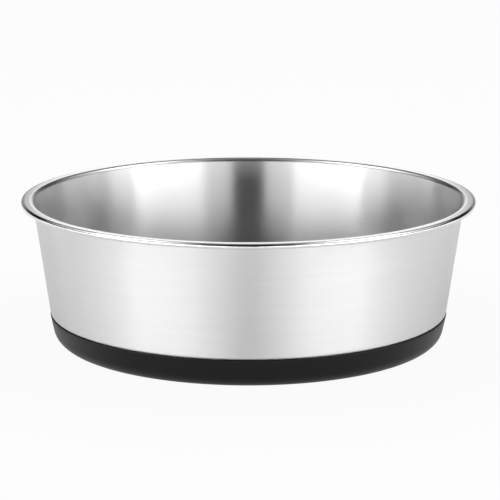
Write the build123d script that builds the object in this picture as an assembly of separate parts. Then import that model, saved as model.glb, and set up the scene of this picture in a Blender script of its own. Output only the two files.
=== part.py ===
"""Stainless steel dog bowl that stands in a black rubber base.

The bowl is one deep-drawn sheet: a flat bottom, a rounded corner, a low wall that is stepped in to make room
for the rubber, a tapered wall, and a flange whose edge is rolled into a bead. The base is one moulded rubber
cup. The bowl's bottom rests on the cup's floor, and the bowl lifts straight out of it along +Z.

Frame: the axis of the bowl is Z, the floor is z = 0. All sizes are in millimetres and degrees.
"""

import os
from math import cos, radians, sin, tan

from build123d import *

# Bowl as a whole
RIM_DIAMETER = 228.0
OVERALL_HEIGHT = 72.5
SHEET_THICKNESS = 0.7
WALL_TAPER = 7.95

# Rolled rim: the wall bends out into a flange, and the flange ends in a bead
RIM_OVERHANG = 6.0
FLANGE_RISE = 1.0
NECK_RADIUS = 1.5
BEAD_DIAMETER = 2.6
CURL_TURN = 250.0

# Foot of the bowl: a step in the wall, where the rubber lies, and the corner under it
STEP_DEPTH = 1.6
SHOULDER_RISE = 20.0
SHOULDER_RADIUS = 0.6
BOWL_CORNER_RADIUS = 9.0

# Rubber base
SEAM_HEIGHT = 14.7
LIP_PROUD = 0.4
LIP_ROUND = 0.5
BASE_DRAFT = 12.0
BASE_CORNER_RADIUS = 8.0
BASE_FLOOR = 3.0

# Underside of the rubber base: a foot ring, grip grooves inside it and a recessed middle
FOOT_RING_WIDTH = 7.0
GROOVE_COUNT = 4
GROOVE_WIDTH = 2.6
GROOVE_DEPTH = 1.0
GROOVE_PITCH = 6.0
RECESS_DEPTH = 0.8

# Clearances between the bowl and the base
FIT_GAP = 0.2
SEAM_GAP = 0.3
SEAT_MARGIN = 4.0


class Course:
    """A straight stretch of a section in the r-z plane: a point on it and its direction in degrees."""

    def __init__(self, r, z, angle):
        self.r = r
        self.z = z
        self.angle = angle

    def moved(self, depth):
        """The same stretch moved to its left by depth."""
        turn = radians(self.angle)
        return Course(self.r - depth * sin(turn), self.z + depth * cos(turn), self.angle)

    def at_height(self, z):
        """The point of the stretch at height z."""
        return (self.r + (z - self.z) / tan(radians(self.angle)), z)

    def meet(self, other):
        """The point where two stretches cross."""
        turn, other_turn = radians(self.angle), radians(other.angle)
        cross = sin(other_turn - turn)
        reach = ((other.r - self.r) * sin(other_turn) - (other.z - self.z) * cos(other_turn)) / cross
        return (self.r + reach * cos(turn), self.z + reach * sin(turn))

    def rounding_reach(self, other, radius):
        """How far from their crossing an arc of this radius touches the two stretches."""
        return radius * tan(radians(abs(other.angle - self.angle)) / 2)


# The bead's middle, which fixes the top of the wall and the flange
bead_radius = BEAD_DIAMETER / 2
bead_r = RIM_DIAMETER / 2 - bead_radius
bead_z = OVERALL_HEIGHT - bead_radius

# Outer face of the sheet, from the bottom to the bead; moving a stretch left goes into the bowl
upright = 90.0 - WALL_TAPER
bottom = Course(0.0, BASE_FLOOR, 0.0)
wall = Course(RIM_DIAMETER / 2 - RIM_OVERHANG, bead_z, upright)
foot_wall = wall.moved(STEP_DEPTH)
flange = Course(bead_r, bead_z, FLANGE_RISE).moved(bead_radius - SHEET_THICKNESS)

# Rubber: its side hangs from the lip's outer edge, and the bowl's shoulder follows the lip's top
lip_r = wall.at_height(SEAM_HEIGHT)[0] + LIP_PROUD
lip_top = Course(lip_r, SEAM_HEIGHT, SHOULDER_RISE)
base_side = Course(lip_r, SEAM_HEIGHT, 90.0 - BASE_DRAFT)
ground = Course(0.0, 0.0, 0.0)
shoulder = lip_top.moved(SEAM_GAP)


def sheet_face(depth):
    """Edges of the sheet's face that lies depth inside the outer face, from the axis to the curled edge."""
    stretches = [course.moved(depth) for course in (bottom, foot_wall, shoulder, wall, flange)]
    corners = [first.meet(second) for first, second in zip(stretches, stretches[1:])]
    hollow, crest = SHOULDER_RADIUS + depth, SHOULDER_RADIUS + SHEET_THICKNESS - depth
    radii = [BOWL_CORNER_RADIUS - depth, hollow, crest, NECK_RADIUS + depth]
    curl_start = (stretches[-1].r, stretches[-1].z)
    run = FilletPolyline((0.0, bottom.z + depth), *corners, curl_start, radius=radii)
    curl_radius = bead_radius - SHEET_THICKNESS + depth
    curl = CenterArc((bead_r, bead_z), curl_radius, 90.0 + FLANGE_RISE, -CURL_TURN)
    return run, curl


def make_bowl_shell():
    """The drawn steel bowl, spun from the section of its sheet."""
    outer_run, outer_curl = sheet_face(0.0)
    inner_run, inner_curl = sheet_face(SHEET_THICKNESS)
    ends = [Line(outer_run @ 0, inner_run @ 0), Line(outer_curl @ 1, inner_curl @ 1)]
    section = make_face([outer_run, outer_curl, inner_run, inner_curl, *ends])
    return revolve(Plane.XZ * section, Axis.Z)


def base_section():
    """Section of the rubber cup without the grooves of its underside."""
    pocket_floor = bottom.moved(-FIT_GAP)
    pocket_wall = foot_wall.moved(-FIT_GAP)
    pocket_corner = pocket_floor.meet(pocket_wall)
    pocket_radius = BOWL_CORNER_RADIUS + FIT_GAP
    seat_r = pocket_corner[0] - pocket_floor.rounding_reach(pocket_wall, pocket_radius) - SEAT_MARGIN
    inside = [
        (0.0, BASE_FLOOR),
        (seat_r, BASE_FLOOR),
        (seat_r, pocket_floor.z),
        pocket_corner,
        pocket_wall.meet(lip_top),
    ]
    outside = [lip_top.meet(base_side), base_side.meet(ground), (0.0, 0.0)]
    radii = [0.0, 0.0, pocket_radius, LIP_ROUND, LIP_ROUND, BASE_CORNER_RADIUS]
    outline = FilletPolyline(*inside, *outside, radius=radii)
    return make_face([outline, Line(outline @ 1, outline @ 0)])


def underside_cuts():
    """Sections of the grip grooves and of the recessed middle, cut upwards into the base's floor."""
    ring_outer_r = ground.meet(base_side)[0] - ground.rounding_reach(base_side, BASE_CORNER_RADIUS)
    ring_inner_r = ring_outer_r - FOOT_RING_WIDTH
    grooves = [
        Pos(ring_inner_r - step * GROOVE_PITCH, 0.0) * Rectangle(GROOVE_WIDTH, 2 * GROOVE_DEPTH)
        for step in range(GROOVE_COUNT)
    ]
    recess_r = ring_inner_r - GROOVE_COUNT * GROOVE_PITCH
    recess = Pos(recess_r / 2, 0.0) * Rectangle(recess_r, 2 * RECESS_DEPTH)
    return [*grooves, recess]


def make_rubber_base():
    """The rubber cup, spun from its section."""
    section = base_section() - underside_cuts()
    return revolve(Plane.XZ * section, Axis.Z)


os.makedirs("parts", exist_ok=True)
export_step(make_bowl_shell(), "parts/bowl_shell.step")
export_step(make_rubber_base(), "parts/rubber_base.step")
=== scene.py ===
"""Looks of a stainless dog bowl that stands in a black rubber base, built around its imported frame.

Everything is in metres and in the frame's own axes: Z is the axis of the bowl, z = 0 is the floor
that it stands on, and the photograph looks along +Y. The bowl and the base are both turned shapes,
so each is drawn as a half-section in the XZ plane and spun about Z.
"""

import logging
import math
from dataclasses import dataclass
from enum import Enum

import bmesh
import bpy
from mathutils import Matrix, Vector


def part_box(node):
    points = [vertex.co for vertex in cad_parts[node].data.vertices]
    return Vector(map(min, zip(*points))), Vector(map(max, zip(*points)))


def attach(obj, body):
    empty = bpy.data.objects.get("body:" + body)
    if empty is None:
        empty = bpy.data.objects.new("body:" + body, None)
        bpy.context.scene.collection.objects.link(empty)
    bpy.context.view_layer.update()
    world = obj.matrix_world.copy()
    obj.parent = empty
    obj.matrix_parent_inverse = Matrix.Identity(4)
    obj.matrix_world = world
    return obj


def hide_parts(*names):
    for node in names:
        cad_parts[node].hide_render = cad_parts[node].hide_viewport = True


SPIN_STEPS = 256
MERGE_DISTANCE = 1e-6
SHARP_ANGLE = math.radians(40.0)

# Noise of 0.5 on average lies mostly between these two
NOISE_LOW = 0.3
NOISE_HIGH = 0.7

# Share of a whole turn by which the brushed blur is turned away from the tangent
QUARTER_TURN = 0.25

log = logging.getLogger("dog_bowl")
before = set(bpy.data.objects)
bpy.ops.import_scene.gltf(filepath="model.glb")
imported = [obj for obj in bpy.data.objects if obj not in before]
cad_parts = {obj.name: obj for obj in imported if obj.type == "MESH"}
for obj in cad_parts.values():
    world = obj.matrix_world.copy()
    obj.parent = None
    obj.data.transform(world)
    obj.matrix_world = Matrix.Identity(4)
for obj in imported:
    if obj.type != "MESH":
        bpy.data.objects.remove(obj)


class Zone(Enum):
    """Finished zones of the steel sheet; the value is the material's place on the mesh."""

    OUTSIDE = 0
    INSIDE = 1
    BEAD = 2
    FLANGE = 3
    NECK = 4


class Hand(Enum):
    """The two sides of the studio, as signs along X."""

    LEFT = -1
    RIGHT = 1


@dataclass(frozen=True)
class Stretch:
    """A straight stretch of a half-section: a point on it and its direction in degrees above +X."""

    r: float
    z: float
    angle: float

    def moved(self, depth: float) -> "Stretch":
        """Returns the same stretch moved to its left by depth."""
        turn = math.radians(self.angle)
        return Stretch(self.r - depth * math.sin(turn), self.z + depth * math.cos(turn), self.angle)

    def at_height(self, z: float) -> Vector:
        """Returns the point of the stretch at height z."""
        return Vector((self.r + (z - self.z) / math.tan(math.radians(self.angle)), z))

    def meet(self, other: "Stretch") -> Vector:
        """Finds where two stretches cross.

        Args:
            other: the stretch that this one runs into.

        Returns:
            The crossing as (r, z).
        """
        turn = math.radians(self.angle)
        other_turn = math.radians(other.angle)
        further_out = other.r - self.r
        further_up = other.z - self.z
        across = further_out * math.sin(other_turn) - further_up * math.cos(other_turn)
        reach = across / math.sin(other_turn - turn)
        return Vector((self.r + reach * math.cos(turn), self.z + reach * math.sin(turn)))


@dataclass(frozen=True)
class Corner:
    """A corner of a half-section.

    Attributes:
        spot: where the corner is, as (r, z).
        radius: the radius of its rounding, or 0 for a sharp corner.
        steps: how many edges the rounding has.
        rows: how many edges the straight run up to the corner has.
    """

    spot: Vector
    radius: float = 0.0
    steps: int = 1
    rows: int = 1


class SectionPen:
    """Draws a half-section in the XZ plane of a bmesh, one stretch after another."""

    def __init__(self, bm: bmesh.types.BMesh, start: Vector) -> None:
        """Sets the pen down.

        Args:
            bm: the bmesh to draw in.
            start: the first point as (r, z).
        """
        self.bm = bm
        self.tip = bm.verts.new((start.x, 0.0, start.y))

    @property
    def place(self) -> Vector:
        """Where the pen is, as (r, z)."""
        return Vector((self.tip.co.x, self.tip.co.z))

    def line_to(self, end: Vector, rows: int) -> None:
        """Draws a straight run.

        Args:
            end: the last point as (r, z).
            rows: how many edges the run has.
        """
        start = self.place
        for row in range(1, rows + 1):
            made = bmesh.ops.extrude_vert_indiv(self.bm, verts=[self.tip])
            self.tip = made["verts"][0]
            spot = start.lerp(end, row / rows)
            self.tip.co = (spot.x, 0.0, spot.y)

    def arc(self, centre: Vector, turn: float, steps: int) -> None:
        """Draws a round run.

        Args:
            centre: the arc's centre as (r, z).
            turn: the angle in radians, positive from +Z towards +X.
            steps: how many edges the arc has.
        """
        made = bmesh.ops.spin(
            self.bm,
            geom=[self.tip],
            cent=(centre.x, 0.0, centre.y),
            axis=(0.0, 1.0, 0.0),
            angle=turn,
            steps=steps,
        )
        self.tip = made["geom_last"][0]

    def follow(self, corners: list[Corner]) -> None:
        """Draws through a list of corners, rounding each one, and ends at the last.

        Args:
            corners: the corners in order; the last one is only an end point.
        """
        for corner, beyond in zip(corners, corners[1:]):
            heading = (corner.spot - self.place).normalized()
            turn = heading.angle_signed((beyond.spot - corner.spot).normalized())
            reach = corner.radius * math.tan(abs(turn) / 2.0)
            self.line_to(corner.spot - heading * reach, corner.rows)
            if corner.radius > 0.0:
                to_centre = Vector((heading.y, -heading.x)) * math.copysign(corner.radius, turn)
                self.arc(self.place + to_centre, turn, corner.steps)
        self.line_to(corners[-1].spot, corners[-1].rows)


def spin_section(bm: bmesh.types.BMesh) -> None:
    """Spins the drawn half-section about Z into a closed ring and points its faces outwards.

    Args:
        bm: the bmesh that holds the section.
    """
    section = bm.verts[:] + bm.edges[:]
    bmesh.ops.spin(
        bm,
        geom=section,
        cent=(0.0, 0.0, 0.0),
        axis=(0.0, 0.0, 1.0),
        angle=math.tau,
        steps=SPIN_STEPS,
        use_merge=True,
    )
    bmesh.ops.remove_doubles(bm, verts=bm.verts[:], dist=MERGE_DISTANCE)
    bmesh.ops.recalc_face_normals(bm, faces=bm.faces[:])


def finished_object(
    bm: bmesh.types.BMesh,
    name: str,
    materials: list[bpy.types.Material],
) -> bpy.types.Object:
    """Turns a bmesh into a smooth-shaded object of the scene.

    Args:
        bm: the bmesh, which is freed.
        name: the piece's name.
        materials: the materials in the order of the faces' material indices.

    Returns:
        The new object, at the origin.
    """
    mesh = bpy.data.meshes.new(name)
    bm.to_mesh(mesh)
    bm.free()
    mesh.shade_smooth()
    mesh.set_sharp_from_angle(angle=SHARP_ANGLE)
    for material in materials:
        mesh.materials.append(material)
    piece = bpy.data.objects.new(name, mesh)
    bpy.context.scene.collection.objects.link(piece)
    return piece


class Graph:
    """Adds and links the nodes of one node tree."""

    def __init__(self, tree: bpy.types.NodeTree) -> None:
        """Takes the tree to work in."""
        self.tree = tree

    def add(self, kind: str, **settings: object) -> bpy.types.Node:
        """Adds a node.

        Args:
            kind: the node's type name.
            settings: properties of the node to set.

        Returns:
            The new node.
        """
        node = self.tree.nodes.new(kind)
        for name, value in settings.items():
            setattr(node, name, value)
        return node

    def feed(self, socket: bpy.types.NodeSocket, value: object) -> None:
        """Links a socket to an output, or sets its value.

        Args:
            socket: the input socket.
            value: an output socket to link, or a plain value to set.
        """
        if isinstance(value, bpy.types.NodeSocket):
            self.tree.links.new(value, socket)
        else:
            socket.default_value = value

    def math(self, operation: str, first: object, second: object = 0.0) -> bpy.types.NodeSocket:
        """Adds a Math node.

        Args:
            operation: the Math node's operation.
            first: the first input, a socket or a number.
            second: the second input, a socket or a number.

        Returns:
            The result socket.
        """
        node = self.add("ShaderNodeMath", operation=operation)
        self.feed(node.inputs[0], first)
        self.feed(node.inputs[1], second)
        return node.outputs[0]

    def vector_math(
        self,
        operation: str,
        first: object,
        second: object = (0.0, 0.0, 0.0),
    ) -> bpy.types.Node:
        """Adds a Vector Math node.

        Args:
            operation: the node's operation.
            first: the first vector.
            second: the second vector.

        Returns:
            The node, since some operations put out a vector and some a value.
        """
        node = self.add("ShaderNodeVectorMath", operation=operation)
        self.feed(node.inputs[0], first)
        self.feed(node.inputs[1], second)
        return node

    def combine(self, x: object, y: object, z: object) -> bpy.types.NodeSocket:
        """Adds a Combine XYZ node.

        Args:
            x: the vector's first part, a socket or a number.
            y: its second part.
            z: its third part.

        Returns:
            The vector.
        """
        node = self.add("ShaderNodeCombineXYZ")
        for socket, value in zip(node.inputs, (x, y, z)):
            self.feed(socket, value)
        return node.outputs[0]

    def separate(self, vector: object) -> bpy.types.Node:
        """Adds a Separate XYZ node.

        Args:
            vector: the vector to take apart.

        Returns:
            The node, with the outputs X, Y and Z.
        """
        node = self.add("ShaderNodeSeparateXYZ")
        self.feed(node.inputs[0], vector)
        return node

    def noise(
        self,
        vector: object,
        scale: object,
        detail: float,
        roughness: float,
    ) -> bpy.types.NodeSocket:
        """Adds a Noise Texture.

        Args:
            vector: the coordinates.
            scale: the noise's scale, a socket or a number.
            detail: how many octaves it has.
            roughness: how strong the fine octaves are.

        Returns:
            The noise as a value of about 0.5 on average.
        """
        node = self.add("ShaderNodeTexNoise")
        self.feed(node.inputs["Vector"], vector)
        self.feed(node.inputs["Scale"], scale)
        self.feed(node.inputs["Detail"], detail)
        self.feed(node.inputs["Roughness"], roughness)
        return node.outputs["Fac"]

    def remap(
        self,
        value: object,
        low: float,
        high: float,
        to_low: float,
        to_high: float,
        smooth: bool = False,
    ) -> bpy.types.NodeSocket:
        """Adds a Map Range node.

        Args:
            value: the value to map.
            low: the value that becomes to_low.
            high: the value that becomes to_high.
            to_low: the result at low.
            to_high: the result at high.
            smooth: eases both ends.

        Returns:
            The mapped value, held between to_low and to_high.
        """
        interpolation = "SMOOTHSTEP" if smooth else "LINEAR"
        node = self.add("ShaderNodeMapRange", interpolation_type=interpolation)
        for socket, given in zip(node.inputs, (value, low, high, to_low, to_high)):
            self.feed(socket, given)
        return node.outputs[0]

    def window(
        self,
        value: object,
        low: float,
        high: float,
        softness: float,
    ) -> bpy.types.NodeSocket:
        """Adds nodes that are 1 between two values and 0 outside them.

        Args:
            value: the value to test.
            low: where the window opens.
            high: where the window closes.
            softness: how far each edge is eased to either side.

        Returns:
            The window as a value from 0 to 1.
        """
        opened = self.remap(value, low - softness, low + softness, 0.0, 1.0, smooth=True)
        closed = self.remap(value, high - softness, high + softness, 1.0, 0.0, smooth=True)
        return self.math("MULTIPLY", opened, closed)

    def mix_colour(self, factor: object, first: object, second: object) -> bpy.types.NodeSocket:
        """Adds a colour Mix node.

        Args:
            factor: 0 for the first colour, 1 for the second.
            first: the first colour.
            second: the second colour.

        Returns:
            The mixed colour.
        """
        node = self.add("ShaderNodeMix", data_type="RGBA")
        self.feed(node.inputs["Factor"], factor)
        self.feed(node.inputs["A"], first)
        self.feed(node.inputs["B"], second)
        return node.outputs["Result"]

    def bump(self, height: object, depth: float) -> bpy.types.NodeSocket:
        """Adds a Bump node.

        Args:
            height: the relief, as a value from 0 to 1.
            depth: how high 1 stands above 0, in metres.

        Returns:
            The changed normal.
        """
        node = self.add("ShaderNodeBump")
        self.feed(node.inputs["Strength"], 1.0)
        self.feed(node.inputs["Distance"], depth)
        self.feed(node.inputs["Height"], height)
        return node.outputs["Normal"]


def new_material(name: str) -> tuple[bpy.types.Material, Graph, bpy.types.Node]:
    """Makes a material with a Principled shader.

    Args:
        name: the material's name.

    Returns:
        The material, its graph and its shader node.
    """
    material = bpy.data.materials.new(name)
    material.use_nodes = True
    return material, Graph(material.node_tree), material.node_tree.nodes["Principled BSDF"]


class Effects:
    """Shader node groups that more than one material uses.

    Attributes:
        BAND_SHARE: how many broad bands there are for each fine line.
        LINE_DETAIL: octaves of the lines' noise.
        LINE_CRISPNESS: strength of the fine octaves of the lines.
        PATCH_DETAIL: octaves of the patches' noise.
        PATCH_CRISPNESS: strength of the fine octaves of the patches.
        CLEAN_BELOW: the noise below which the surface is clean.
        DULL_ABOVE: the noise above which the surface is wholly dull.
    """

    BAND_SHARE: float = 0.08
    LINE_DETAIL: float = 3.0
    LINE_CRISPNESS: float = 0.6
    PATCH_DETAIL: float = 4.0
    PATCH_CRISPNESS: float = 0.55
    CLEAN_BELOW: float = 0.45
    DULL_ABOVE: float = 0.75

    def __init__(self) -> None:
        """Builds the groups once."""
        self.turned_lines = self._turned_lines()
        self.handling = self._handling()

    @staticmethod
    def _group(
        name: str,
        inputs: list[str],
        outputs: list[str],
    ) -> tuple[Graph, dict[str, bpy.types.NodeSocket], bpy.types.Node]:
        """Starts a group with a Position input, float inputs and float outputs.

        Args:
            name: the group's name.
            inputs: the names of the float inputs.
            outputs: the names of the float outputs.

        Returns:
            The group's graph, its input sockets by name, and its output node.
        """
        tree = bpy.data.node_groups.new(name, "ShaderNodeTree")
        tree.interface.new_socket("Position", in_out="INPUT", socket_type="NodeSocketVector")
        for label in inputs:
            tree.interface.new_socket(label, in_out="INPUT", socket_type="NodeSocketFloat")
        for label in outputs:
            tree.interface.new_socket(label, in_out="OUTPUT", socket_type="NodeSocketFloat")
        graph = Graph(tree)
        sockets = graph.add("NodeGroupInput").outputs
        given = {socket.name: socket for socket in sockets if socket.name}
        return graph, given, graph.add("NodeGroupOutput")

    def _turned_lines(self) -> bpy.types.NodeTree:
        """Lines left by finishing a turned sheet on a spindle.

        A line runs round the axis, so it follows the direction from the axis slowly and radius plus
        height quickly: that sum grows all the way from the middle of the bottom to the rim.

        Returns:
            The group, with Lines for the fine lines and Bands for the broad ones.
        """
        labels = ["Lines", "Bands"]
        graph, given, result = self._group("turned_lines", ["Fineness", "Wander"], labels)
        axes = graph.separate(given["Position"]).outputs
        spoke = graph.combine(axes["X"], axes["Y"], 0.0)
        radius = graph.vector_math("LENGTH", spoke).outputs["Value"]
        heading = graph.vector_math("NORMALIZE", spoke).outputs["Vector"]
        way_round = graph.add("ShaderNodeVectorMath", operation="SCALE")
        graph.feed(way_round.inputs[0], heading)
        graph.feed(way_round.inputs["Scale"], given["Wander"])
        run = graph.math("ADD", radius, axes["Z"])
        fine_run = graph.math("MULTIPLY", run, given["Fineness"])
        broad_run = graph.math("MULTIPLY", fine_run, self.BAND_SHARE)
        for label, along in zip(labels, (fine_run, broad_run)):
            lift = graph.combine(0.0, 0.0, along)
            place = graph.vector_math("ADD", way_round.outputs[0], lift).outputs["Vector"]
            lines = graph.noise(place, 1.0, self.LINE_DETAIL, self.LINE_CRISPNESS)
            graph.feed(result.inputs[label], lines)
        return graph.tree

    def _handling(self) -> bpy.types.NodeTree:
        """Faint dull patches that hands and washing leave on a smooth surface.

        Returns:
            The group, with Patches from 0 for clean to 1 for dull.
        """
        graph, given, result = self._group("handling", ["Patch Size"], ["Patches"])
        scale = graph.math("DIVIDE", 1.0, given["Patch Size"])
        cloud = graph.noise(given["Position"], scale, self.PATCH_DETAIL, self.PATCH_CRISPNESS)
        patches = graph.remap(cloud, self.CLEAN_BELOW, self.DULL_ABOVE, 0.0, 1.0, smooth=True)
        graph.feed(result.inputs["Patches"], patches)
        return graph.tree


@dataclass(frozen=True)
class SteelFinish:
    """One finish of the stainless sheet; the defaults are those of the smooth zones.

    Attributes:
        name: the material's name.
        colour: the colour of the steel.
        roughness: how blurred the reflections are.
        line_spread: how much of the blur lies across the lines.
        fineness: noise cells of the lines to a metre.
        wander: noise cells of the lines on the way round.
        line_tone: how far the colour of a line departs from that of the steel.
        line_roughness: how far the roughness of a band departs from that of the steel.
        line_depth: how deep the lines are.
        patch_size: how wide the dull patches are.
        patch_roughness: how much rougher the dull patches are.
    """

    name: str
    colour: tuple[float, float, float]
    roughness: float
    line_spread: float
    fineness: float = 3200.0
    wander: float = 0.6
    line_tone: float = 0.015
    line_roughness: float = 0.006
    line_depth: float = 1.0e-7
    patch_size: float = 0.04
    patch_roughness: float = 0.006

    def material(self, effects: Effects) -> bpy.types.Material:
        """Builds the finish.

        Args:
            effects: the shared node groups.

        Returns:
            The material, brushed round the axis of the bowl.
        """
        material, graph, shader = new_material(self.name)
        position = graph.add("ShaderNodeTexCoord").outputs["Object"]

        lines = graph.add("ShaderNodeGroup", node_tree=effects.turned_lines)
        graph.feed(lines.inputs["Position"], position)
        graph.feed(lines.inputs["Fineness"], self.fineness)
        graph.feed(lines.inputs["Wander"], self.wander)
        patches = graph.add("ShaderNodeGroup", node_tree=effects.handling)
        graph.feed(patches.inputs["Position"], position)
        graph.feed(patches.inputs["Patch Size"], self.patch_size)

        tone = graph.math("ADD", lines.outputs["Lines"], lines.outputs["Bands"])
        deep = tuple(channel * (1.0 - self.line_tone) for channel in self.colour)
        pale = tuple(min(1.0, channel * (1.0 + self.line_tone)) for channel in self.colour)
        share = graph.remap(tone, 2.0 * NOISE_LOW, 2.0 * NOISE_HIGH, 0.0, 1.0)
        colour = graph.mix_colour(share, (*deep, 1.0), (*pale, 1.0))
        graph.feed(shader.inputs["Base Color"], colour)

        low = self.roughness - self.line_roughness
        high = self.roughness + self.line_roughness
        brushed = graph.remap(lines.outputs["Bands"], NOISE_LOW, NOISE_HIGH, low, high)
        dulled = graph.math("MULTIPLY", patches.outputs["Patches"], self.patch_roughness)
        graph.feed(shader.inputs["Roughness"], graph.math("ADD", brushed, dulled))
        graph.feed(shader.inputs["Normal"], graph.bump(lines.outputs["Lines"], self.line_depth))

        graph.feed(shader.inputs["Metallic"], 1.0)
        graph.feed(shader.inputs["Anisotropic"], self.line_spread)
        graph.feed(shader.inputs["Anisotropic Rotation"], QUARTER_TURN)
        tangent = graph.add("ShaderNodeTangent", direction_type="RADIAL", axis="Z")
        graph.feed(shader.inputs["Tangent"], tangent.outputs["Tangent"])
        return material


@dataclass(frozen=True)
class RubberFinish:
    """The finish of the moulded rubber.

    Attributes:
        name: the material's name.
        colour: the colour of clean rubber.
        dusty_colour: the colour that dust gives it.
        dust_share: how much of that colour the dustiest patches take on.
        roughness: how blurred the reflections are.
        specular: how strong the reflections are.
        grain_size: how wide a grain of the mould is.
        grain_depth: how deep the grain is.
        grain_detail: octaves of the grain's noise.
        grain_crispness: strength of the fine octaves of the grain.
        patch_size: how wide the dull patches are.
        patch_roughness: how much rougher the dull patches are.
    """

    name: str
    colour: tuple[float, float, float]
    dusty_colour: tuple[float, float, float]
    dust_share: float
    roughness: float
    specular: float
    grain_size: float
    grain_depth: float
    grain_detail: float
    grain_crispness: float
    patch_size: float
    patch_roughness: float

    def material(self, effects: Effects) -> bpy.types.Material:
        """Builds the finish.

        Args:
            effects: the shared node groups.

        Returns:
            The material.
        """
        material, graph, shader = new_material(self.name)
        position = graph.add("ShaderNodeTexCoord").outputs["Object"]

        patches = graph.add("ShaderNodeGroup", node_tree=effects.handling)
        graph.feed(patches.inputs["Position"], position)
        graph.feed(patches.inputs["Patch Size"], self.patch_size)
        dust = graph.math("MULTIPLY", patches.outputs["Patches"], self.dust_share)
        colour = graph.mix_colour(dust, (*self.colour, 1.0), (*self.dusty_colour, 1.0))
        graph.feed(shader.inputs["Base Color"], colour)

        dulled = graph.math("MULTIPLY", patches.outputs["Patches"], self.patch_roughness)
        graph.feed(shader.inputs["Roughness"], graph.math("ADD", dulled, self.roughness))
        graph.feed(shader.inputs["Specular IOR Level"], self.specular)

        fineness = 1.0 / self.grain_size
        grain = graph.noise(position, fineness, self.grain_detail, self.grain_crispness)
        graph.feed(shader.inputs["Normal"], graph.bump(grain, self.grain_depth))
        return material


BRUSHED_OUTSIDE = SteelFinish(
    name="steel_brushed_outside",
    colour=(0.84, 0.84, 0.84),
    roughness=0.43,
    line_spread=0.93,
    wander=2.5,
    line_tone=0.03,
    line_roughness=0.03,
    line_depth=2.0e-6,
    patch_roughness=0.02,
)
FINE_INSIDE = SteelFinish(
    name="steel_fine_inside",
    colour=(0.80, 0.80, 0.80),
    roughness=0.3,
    line_spread=1.0,
    fineness=4500.0,
    line_tone=0.012,
    line_roughness=0.004,
)
POLISHED_BEAD = SteelFinish(
    name="steel_polished_bead",
    colour=(0.82, 0.82, 0.82),
    roughness=0.18,
    line_spread=0.6,
)
POLISHED_FLANGE = SteelFinish(
    name="steel_polished_flange",
    colour=(0.88, 0.88, 0.88),
    roughness=0.16,
    line_spread=0.2,
)
# Painted shade: the neck's colour is darker than the rest of the steel so that the bend under the
# flange shows as a dark line. Its roughness is a real satin finish.
SATIN_NECK_PAINTED_SHADE = SteelFinish(
    name="steel_satin_neck_painted_shade",
    colour=(0.72, 0.72, 0.72),
    roughness=0.28,
    line_spread=0.4,
)
MOULDED_RUBBER = RubberFinish(
    name="rubber_moulded_black",
    colour=(0.005, 0.005, 0.0053),
    dusty_colour=(0.009, 0.009, 0.0094),
    dust_share=0.5,
    roughness=0.36,
    specular=0.23,
    grain_size=0.0004,
    grain_depth=6.0e-6,
    grain_detail=2.0,
    grain_crispness=0.6,
    patch_size=0.02,
    patch_roughness=0.08,
)


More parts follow.
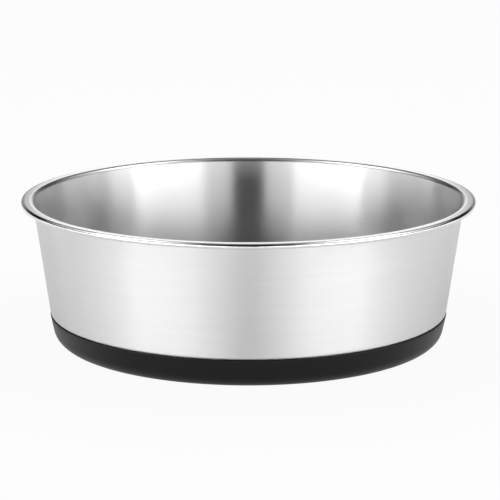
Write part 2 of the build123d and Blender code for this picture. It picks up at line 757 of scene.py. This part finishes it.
@dataclass
class SteelBowl:
    """The drawn steel bowl: its sheet's sizes, its mesh and its finishes.

    Lengths are in metres, the taper and the rises in degrees, and the curl's turn in radians. Near
    the rim, a face whose normal rises above flat_normal is flange, and above neck_normal neck.
    """

    rim_radius: float
    top: float
    bottom: float
    sheet: float = 0.0007
    wall_taper: float = 7.95
    rim_overhang: float = 0.006
    flange_rise: float = 1.0
    neck_radius: float = 0.0015
    bead_radius: float = 0.0013
    curl_turn: float = math.radians(250.0)
    curl_steps: int = 28
    step_depth: float = 0.0016
    shoulder_rise: float = 20.0
    shoulder_radius: float = 0.0006
    corner_radius: float = 0.009
    seam_height: float = 0.0147
    lip_proud: float = 0.0004
    seam_gap: float = 0.0003
    flat_normal: float = 0.995
    neck_normal: float = 0.2
    name: str = "steel_bowl"

    @property
    def bead(self) -> Vector:
        """Middle of the rolled bead."""
        return Vector((self.rim_radius - self.bead_radius, self.top - self.bead_radius))

    @property
    def wall(self) -> Stretch:
        """Outer face of the tapered wall."""
        return Stretch(self.rim_radius - self.rim_overhang, self.bead.y, 90.0 - self.wall_taper)

    @property
    def lip_top(self) -> Stretch:
        """Top of the rubber's lip, which the shoulder of the bowl follows."""
        lip = self.wall.at_height(self.seam_height)
        return Stretch(lip.x + self.lip_proud, self.seam_height, self.shoulder_rise)

    def inner_stretches(self) -> list[Stretch]:
        """Lists the straight stretches of the sheet's inner face.

        Returns:
            The stretches, from the bottom to the flange.
        """
        bead_middle = Stretch(self.bead.x, self.bead.y, self.flange_rise)
        outer = [
            Stretch(0.0, self.bottom, 0.0),
            self.wall.moved(self.step_depth),
            self.lip_top.moved(self.seam_gap),
            self.wall,
            bead_middle.moved(self.bead_radius - self.sheet),
        ]
        return [stretch.moved(self.sheet) for stretch in outer]

    def zone_of(self, face: bmesh.types.BMFace) -> Zone:
        """Tells which finish a face has.

        Args:
            face: a face of the bowl.

        Returns:
            The face's zone.
        """
        centre = face.calc_center_median()
        place = Vector((centre.xy.length, centre.z))
        if (place - self.bead).length < self.bead_radius:
            return Zone.BEAD
        spoke = Vector((centre.x, centre.y, 0.0)).normalized()
        if face.normal.dot(spoke) > face.normal.z:
            return Zone.OUTSIDE
        upper_half = centre.z > self.top / 2.0
        if upper_half and face.normal.z > self.flat_normal:
            return Zone.FLANGE
        if upper_half and face.normal.z > self.neck_normal:
            return Zone.NECK
        return Zone.INSIDE

    def build(self, effects: Effects) -> bpy.types.Object:
        """Builds and dresses the bowl.

        Args:
            effects: the shared node groups.

        Returns:
            The bowl's object.
        """
        stretches = self.inner_stretches()
        spots = [first.meet(second) for first, second in zip(stretches, stretches[1:])]
        curl_start = Vector((stretches[-1].r, stretches[-1].z))
        corners = [
            Corner(spots[0], self.corner_radius - self.sheet, steps=14, rows=16),
            Corner(spots[1], self.shoulder_radius + self.sheet, steps=6, rows=5),
            Corner(spots[2], self.shoulder_radius, steps=6, rows=2),
            Corner(spots[3], self.neck_radius + self.sheet, steps=14, rows=40),
            Corner(curl_start, rows=5),
        ]
        bm = bmesh.new()
        pen = SectionPen(bm, Vector((0.0, self.bottom + self.sheet)))
        pen.follow(corners)
        pen.arc(self.bead, self.curl_turn, self.curl_steps)
        spin_section(bm)
        bm.normal_update()
        lowest = min(bm.faces, key=lambda face: face.calc_center_median().z)
        if lowest.normal.z < 0.0:
            bmesh.ops.reverse_faces(bm, faces=bm.faces[:])
        bmesh.ops.solidify(bm, geom=bm.faces[:], thickness=self.sheet)
        bm.normal_update()
        for face in bm.faces:
            face.material_index = self.zone_of(face).value
        finishes = {
            Zone.OUTSIDE: BRUSHED_OUTSIDE,
            Zone.INSIDE: FINE_INSIDE,
            Zone.BEAD: POLISHED_BEAD,
            Zone.FLANGE: POLISHED_FLANGE,
            Zone.NECK: SATIN_NECK_PAINTED_SHADE,
        }
        materials = [finishes[zone].material(effects) for zone in Zone]
        return finished_object(bm, self.name, materials)


@dataclass
class RubberBase:
    """The moulded rubber base: its sizes, its mesh and its finish.

    Lengths are in metres and the draft is in degrees. What fits the bowl follows the bowl's sizes.
    """

    bowl: SteelBowl
    draft: float = 12.0
    corner_radius: float = 0.008
    lip_round: float = 0.0005
    fit_gap: float = 0.0002
    seat_margin: float = 0.004
    foot_ring_width: float = 0.007
    groove_count: int = 4
    groove_width: float = 0.0026
    groove_depth: float = 0.001
    groove_pitch: float = 0.006
    groove_round: float = 0.0003
    groove_steps: int = 3
    recess_depth: float = 0.0008
    name: str = "rubber_foot"

    def inside(self) -> list[Corner]:
        """Lists the corners of the pocket that holds the bowl.

        Returns:
            The corners, from the axis to the lip.
        """
        bowl = self.bowl
        floor = Stretch(0.0, bowl.bottom - self.fit_gap, 0.0)
        wall = bowl.wall.moved(bowl.step_depth - self.fit_gap)
        corner = floor.meet(wall)
        radius = bowl.corner_radius + self.fit_gap
        seat = corner.x - radius * math.tan(math.radians(wall.angle) / 2.0) - self.seat_margin
        return [
            Corner(Vector((seat, bowl.bottom)), rows=14),
            Corner(Vector((seat, floor.z))),
            Corner(corner, radius, steps=14, rows=2),
            Corner(wall.meet(bowl.lip_top), self.lip_round, steps=5, rows=4),
        ]

    def outside(self) -> list[Corner]:
        """Lists the corners of the lip's edge and of the side.

        Returns:
            The corners, from the lip to the floor.
        """
        lip = self.bowl.lip_top
        side = Stretch(lip.r, lip.z, 90.0 - self.draft)
        ground = Stretch(0.0, 0.0, 0.0)
        return [
            Corner(Vector((lip.r, lip.z)), self.lip_round, steps=10, rows=2),
            Corner(ground.meet(side), self.corner_radius, steps=18, rows=10),
        ]

    def underside(self) -> list[Corner]:
        """Lists the corners of the grip grooves and of the recessed middle.

        Returns:
            The corners, from the foot ring to the axis.
        """
        foot = self.outside()[-1].spot.x
        rounding = self.corner_radius * math.tan(math.radians(90.0 - self.draft) / 2.0)
        ring = foot - rounding - self.foot_ring_width
        deep = self.groove_depth
        spots: list[tuple[float, float]] = []
        for step in range(self.groove_count):
            middle = ring - step * self.groove_pitch
            outer = middle + self.groove_width / 2.0
            inner = middle - self.groove_width / 2.0
            spots += [(outer, 0.0), (outer, deep), (inner, deep), (inner, 0.0)]
        edge = ring - self.groove_count * self.groove_pitch
        spots += [(edge, 0.0), (edge, self.recess_depth)]
        rounded = [Corner(Vector(spot), self.groove_round, self.groove_steps) for spot in spots]
        return [*rounded, Corner(Vector((0.0, self.recess_depth)), rows=10)]

    def build(self, effects: Effects) -> bpy.types.Object:
        """Builds and dresses the base.

        Args:
            effects: the shared node groups.

        Returns:
            The base's object.
        """
        bm = bmesh.new()
        pen = SectionPen(bm, Vector((0.0, self.bowl.bottom)))
        pen.follow(self.inside() + self.outside() + self.underside())
        spin_section(bm)
        return finished_object(bm, self.name, [MOULDED_RUBBER.material(effects)])


@dataclass(frozen=True)
class SoftBox:
    """A soft box: its size, where it hangs as seen from the bowl, and its radiance.

    The azimuth is in degrees from the camera's side, and the elevation in degrees above the floor.
    """

    name: str
    width: float
    height: float
    distance: float
    azimuth: float
    elevation: float
    radiance: float


@dataclass(frozen=True)
class Card:
    """A lit card on each side of the table, by its edges in degrees as seen from the bowl.

    The near and far edges are azimuths from the camera's side, and low and high are elevations.
    The softness is how far each edge fades to either side, in degrees too.
    """

    near: float
    far: float
    low: float
    high: float
    radiance: float
    softness: float


@dataclass
class Studio:
    """A white table in a dark room, with lit cards, two soft boxes at the sides and one above.

    The shade ring is painted shade: the floor is greyer under and close to the bowl, as if in
    the bowl's contact shadow. The glows are the shares of plain white that the floor shows: to the
    camera, to mirrored rays, and to those behind the bowl.
    """

    floor_size: float = 14.0
    floor_colour: tuple[float, float, float] = (0.85, 0.85, 0.85)
    floor_roughness: float = 0.9
    # Painted shade: a greyer floor colour within this radius of the axis, fading out over the fade
    shade_ring_colour: tuple[float, float, float] = (0.4, 0.4, 0.4)
    shade_ring_radius: float = 0.12
    shade_ring_fade: float = 0.1
    floor_glow: float = 0.95
    mirrored_glow: float = 0.64
    mirrored_behind: float = 0.95
    behind_near: float = 0.18
    behind_far: float = 0.36
    # Each card: near, far, low and high edge, radiance, softness
    cards: tuple[Card, ...] = (
        Card(-5.0, 9.0, -2.0, 3.2, 4.5, 1.5),
        Card(9.0, 26.0, -2.0, 7.0, 3.6, 1.2),
        Card(9.0, 26.0, 7.0, 12.0, 4.6, 1.2),
        Card(26.0, 68.0, -2.0, 7.0, 5.4, 1.2),
        Card(26.0, 68.0, 7.0, 12.0, 7.4, 1.2),
        Card(68.0, 84.0, -2.0, 10.0, 4.0, 1.2),
        Card(84.0, 102.0, -2.0, 9.0, 3.0, 3.0),
        Card(102.0, 124.0, -2.0, 8.0, 2.0, 3.0),
        Card(124.0, 150.0, -2.0, 6.0, 0.8, 3.0),
        Card(150.0, 174.6, -1.0, 14.0, 0.33, 0.7),
        Card(174.6, 185.0, -1.0, 15.5, 1.2, 0.7),
        Card(28.0, 68.0, 30.0, 50.0, 0.9, 3.0),
        Card(68.0, 110.0, 30.0, 50.0, 1.8, 3.0),
        Card(110.0, 150.0, 30.0, 50.0, 0.8, 3.0),
        Card(45.0, 90.0, 50.0, 70.0, 0.7, 3.0),
    )
    side_box: SoftBox = SoftBox(
        name="side_box",
        width=0.7,
        height=0.48,
        distance=1.3,
        azimuth=119.0,
        elevation=60.0,
        radiance=2.6,
    )
    top_box: SoftBox = SoftBox(
        name="top_box",
        width=1.0,
        height=0.9,
        distance=1.2,
        azimuth=180.0,
        elevation=74.0,
        radiance=0.3,
    )
    aim_height: float = 0.04
    camera_distance: float = 1.0572
    camera_height: float = 0.2806
    camera_pitch: float = 12.588
    camera_yaw: float = 0.0423
    camera_lens: float = 154.15

    def floor_material(self) -> bpy.types.Material:
        """Builds the floor's finish.

        Returns:
            The material, which keeps shadows and shows white to the camera and to the steel.
        """
        material, graph, shader = new_material("studio_floor")
        place = graph.add("ShaderNodeTexCoord").outputs["Object"]
        spoke = graph.vector_math("LENGTH", place).outputs["Value"]
        # Painted shade: greyer floor near the bowl, fading to the plain floor colour further out
        outer = self.shade_ring_radius + self.shade_ring_fade
        unshaded = graph.remap(spoke, self.shade_ring_radius, outer, 0.0, 1.0, smooth=True)
        colour = graph.mix_colour(unshaded, (*self.shade_ring_colour, 1.0), (*self.floor_colour, 1.0))
        graph.feed(shader.inputs["Base Color"], colour)
        graph.feed(shader.inputs["Roughness"], self.floor_roughness)
        graph.feed(shader.inputs["Specular IOR Level"], 0.0)

        path = graph.add("ShaderNodeLightPath").outputs
        direct = graph.math("MULTIPLY", path["Is Camera Ray"], self.floor_glow)
        mirrored = graph.math("MAXIMUM", path["Is Glossy Ray"], path["Is Transmission Ray"])
        whiteness = graph.remap(
            graph.separate(place).outputs["Y"],
            self.behind_near,
            self.behind_far,
            self.mirrored_glow,
            self.mirrored_behind,
            smooth=True,
        )
        shown = graph.math("MULTIPLY", mirrored, whiteness)
        blend = graph.add("ShaderNodeMixShader")
        graph.feed(blend.inputs["Fac"], graph.math("MAXIMUM", direct, shown))
        graph.feed(blend.inputs[1], shader.outputs["BSDF"])
        graph.feed(blend.inputs[2], graph.add("ShaderNodeEmission").outputs["Emission"])
        surface = material.node_tree.nodes["Material Output"].inputs["Surface"]
        graph.feed(surface, blend.outputs["Shader"])
        return material

    def lay_floor(self) -> None:
        """Lays the white floor, which belongs to the studio and not to the object."""
        bm = bmesh.new()
        bmesh.ops.create_grid(bm, x_segments=1, y_segments=1, size=self.floor_size / 2.0)
        finished_object(bm, "studio_floor", [self.floor_material()])

    def hang_cards(self) -> None:
        """Makes the world: the lit cards round the table, and plain white for the camera."""
        world = bpy.data.worlds.new("studio_cards")
        world.use_nodes = True
        bpy.context.scene.world = world
        graph = Graph(world.node_tree)
        background = world.node_tree.nodes["Background"]

        axes = graph.separate(graph.add("ShaderNodeTexCoord").outputs["Generated"]).outputs
        elevation = graph.math("DEGREES", graph.math("ARCSINE", axes["Z"]))
        level = graph.vector_math("NORMALIZE", graph.combine(axes["X"], axes["Y"], 0.0))
        ahead = graph.separate(level.outputs["Vector"]).outputs["Y"]
        to_camera = graph.math("MULTIPLY", ahead, -1.0)
        aside = graph.math("DEGREES", graph.math("ARCCOSINE", to_camera))

        light: float | bpy.types.NodeSocket = 0.0
        for card in self.cards:
            across = graph.window(aside, card.near, card.far, card.softness)
            upwards = graph.window(elevation, card.low, card.high, card.softness)
            lit = graph.math("MULTIPLY", graph.math("MULTIPLY", across, upwards), card.radiance)
            light = graph.math("ADD", lit, light)
        seen = graph.add("ShaderNodeLightPath").outputs["Is Camera Ray"]
        graph.feed(background.inputs["Strength"], graph.math("MAXIMUM", light, seen))
        graph.feed(background.inputs["Color"], (1.0, 1.0, 1.0, 1.0))

    def hang_soft_box(self, box: SoftBox, hand: Hand) -> None:
        """Hangs one soft box, turned to the bowl.

        Args:
            box: the soft box.
            hand: the side that it hangs on.
        """
        azimuth = math.radians(box.azimuth) * hand.value
        elevation = math.radians(box.elevation)
        away = Vector(
            (
                math.sin(azimuth) * math.cos(elevation),
                -math.cos(azimuth) * math.cos(elevation),
                math.sin(elevation),
            )
        )
        lamp = bpy.data.lights.new(f"{box.name}_{hand.name.lower()}", "AREA")
        lamp.shape = "RECTANGLE"
        lamp.size = box.width
        lamp.size_y = box.height
        lamp.energy = box.radiance * math.pi * box.width * box.height
        holder = bpy.data.objects.new(lamp.name, lamp)
        bpy.context.scene.collection.objects.link(holder)
        holder.location = away * box.distance + Vector((0.0, 0.0, self.aim_height))
        holder.rotation_euler = (-away).to_track_quat("-Z", "Y").to_euler()

    def set_camera(self) -> None:
        """Sets the camera where the photograph was taken from."""
        data = bpy.data.cameras.new("photo_camera")
        data.lens = self.camera_lens
        camera = bpy.data.objects.new(data.name, data)
        bpy.context.scene.collection.objects.link(camera)
        camera.location = (0.0, -self.camera_distance, self.camera_height)
        upright = math.radians(90.0 - self.camera_pitch)
        camera.rotation_euler = (upright, 0.0, -math.radians(self.camera_yaw))
        bpy.context.scene.camera = camera

    def build(self) -> None:
        """Builds the studio and sets the plain view transform."""
        self.lay_floor()
        self.hang_cards()
        for hand in Hand:
            self.hang_soft_box(self.side_box, hand)
        self.hang_soft_box(self.top_box, Hand.RIGHT)
        self.set_camera()
        bpy.context.scene.view_settings.view_transform = "Standard"


def main() -> None:
    """Builds the bowl, its base and the studio, and logs each piece's face count."""
    logging.basicConfig(level=logging.INFO, format="%(name)s: %(message)s")
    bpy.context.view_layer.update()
    shell_low, shell_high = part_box("bowl_shell")
    effects = Effects()

    bowl = SteelBowl(rim_radius=shell_high.x, top=shell_high.z, bottom=shell_low.z)
    bowl_piece = bowl.build(effects)
    base_piece = RubberBase(bowl).build(effects)
    for piece, node, body, slot in (
        (bowl_piece, "bowl_shell", "bowl", "stainless_steel"),
        (base_piece, "rubber_base", "base", "black_rubber"),
    ):
        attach(piece, body)
        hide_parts(node)
        log.info("%s: %d faces, rides on %s", piece.name, len(piece.data.polygons), body)

    Studio().build()


if __name__ == "__main__":
    main()
